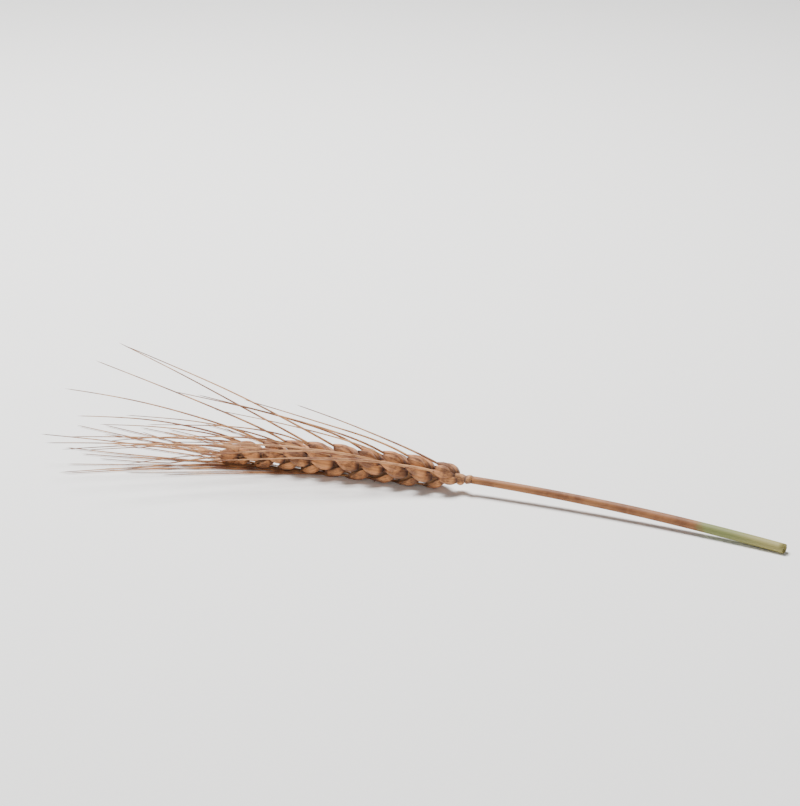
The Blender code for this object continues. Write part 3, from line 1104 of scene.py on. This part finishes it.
def modelBud():
    tangent, rows, fans = lineFrame(budLook["at"])
    on, out = budLook["leans"]
    outerTone, innerTone = budLook["tones"]
    along = (tangent * on - rows * out).normalized()
    base = linePoint(budLook["at"]) - rows * (budLook["neck"] / 2) - along * budLook["sunk"]
    length, width, depth = (a / b for a, b in zip(budLook["size"], lemmaLook["size"]))
    stretch = (width, depth, length)
    smaller = [size * share for size, share in zip(stretch, budLook["innerShare"])]
    places = [(placeOf(base, along, -rows, stretch), outerTone)]
    for side in (-1, 1):
        root = base + fans * side * budLook["innerAside"]
        way = (along + fans * side * budLook["innerFan"]).normalized()
        facing = -rows * budLook["innerFaces"] + fans * side
        places.append((placeOf(root, way, facing, smaller), innerTone))
    return copyAndJoin("bud", modelScale("budShape", lemmaLook), places)


finishPiece(modelBud(), "ear", glumeSkin)

# The straw
strawLook = {
    "radiusCut": 1.55,
    "radiusTop": 1.25,
    "wall": 0.4,
    "hollow": 62,
    "top": 0.3,  # how far it runs on into the collar
    "oval": 0.02,
    "lobed": 0.012,
    "slant": 0.3,  # the cut isn't quite square
    "ragged": 0.05,
    "sides": 28,
    "steps": 48,
}


def modelStraw():
    start = -earLine["strawLength"]
    long = strawLook["top"] - start
    steps = strawLook["steps"]
    straw = modelRod("straw", strawLook["sides"], steps)
    bore = 1 - strawLook["wall"] / strawLook["radiusCut"]
    # the wall's rim, and the bore that goes in as far as the pith
    pick("VERT", lambda v: v.co.z < 0.01)
    drawOut((0, 0, 0))
    resizeRing(bore, bore, (0, 0, 0))
    for k in range(int(strawLook["hollow"] / long * steps)):
        drawOut((0, 0, 1))
    closeEnds(lambda v: v.co.z > steps - 0.01)
    mapRound(straw.data, steps)

    def taper(co):
        share = co.z / steps
        turn = math.atan2(co.y, co.x)
        radius = strawLook["radiusCut"] + (strawLook["radiusTop"] - strawLook["radiusCut"]) * share
        uneven = strawLook["oval"] * math.sin(2 * turn + 6 * share)
        uneven += strawLook["lobed"] * math.sin(3 * turn - 15 * share)
        radius *= 1 + uneven
        s = start + long * share
        if share < 0.001:
            s += strawLook["slant"] * (1 + math.sin(turn + 0.6)) / 2
            s += strawLook["ragged"] * math.sin(9 * turn)
        return Vector((co.x * radius, co.y * radius, s))

    reshape(straw.data, taper)
    layOnLine(straw.data)
    return joined("straw", [straw])


finishPiece(modelStraw(), "stem", strawMaterial())
print("straw made")

# Floor, light and camera
floorLook = dict(dryFinish, colour=(0.92, 0.912, 0.895, 1), speck=(0.8, 0.8, 0.8, 1),
                 speckScale=900, speckShows=(0.3, 0.7, 0, 0.05), rough=0.9, sheen=0, size=3.0)


def makeFloor():
    look = floorLook
    deselectAll()
    bpy.ops.mesh.primitive_plane_add(size=look["size"], location=(0, 0, 0))
    floor = bpy.context.object
    floor.name = "floor"
    material, tree, shader = startMaterial("pale floor", look)
    grain = ramped(tree, noiseOf(tree, objectPlace(tree), look["speckScale"], 3), *look["speckShows"])
    colour = mixColour(tree, "MULTIPLY", grain, look["colour"], look["speck"])
    tree.links.new(colour, shader.inputs["Base Color"])
    floor.data.materials.append(material)


lights = {
    "above": {"size": 0.5, "watts": 33, "from": (-0.35, 0.3, 1.0)},
    "front": {"size": 0.7, "watts": 3, "from": (0.5, -0.9, 0.6)},
}
worldLook = {"colour": (1, 0.99, 0.97, 1), "strength": 0.15}


def makeLights():
    for name, look in lights.items():
        data = bpy.data.lights.new(name, "AREA")
        data.shape = "DISK"
        data.size = look["size"]
        data.energy = look["watts"]
        lamp = linked(name, data)
        lamp.location = look["from"]
        lamp.rotation_euler = (-Vector(look["from"])).to_track_quat("-Z", "Y").to_euler()
    world = bpy.data.worlds.new("studio")
    world.use_nodes = True
    background = world.node_tree.nodes["Background"]
    background.inputs["Color"].default_value = worldLook["colour"]
    background.inputs["Strength"].default_value = worldLook["strength"]
    bpy.context.scene.world = world


cameraLook = {"azimuth": 20, "elevation": 22, "distance": 0.66, "lens": 96, "aim": (0.001, 0.0, 0.032)}


def makeCamera():
    data = bpy.data.cameras.new("camera")
    data.lens = cameraLook["lens"]
    data.dof.use_dof = False
    camera = linked("camera", data)
    turn, rise = math.radians(cameraLook["azimuth"]), math.radians(cameraLook["elevation"])
    back = Vector((math.sin(turn) * math.cos(rise), -math.cos(turn) * math.cos(rise), math.sin(rise)))
    camera.location = Vector(cameraLook["aim"]) + back * cameraLook["distance"]
    camera.rotation_euler = (-back).to_track_quat("-Z", "Y").to_euler()
    bpy.context.scene.camera = camera


makeFloor()
makeLights()
makeCamera()
print("stage ready")
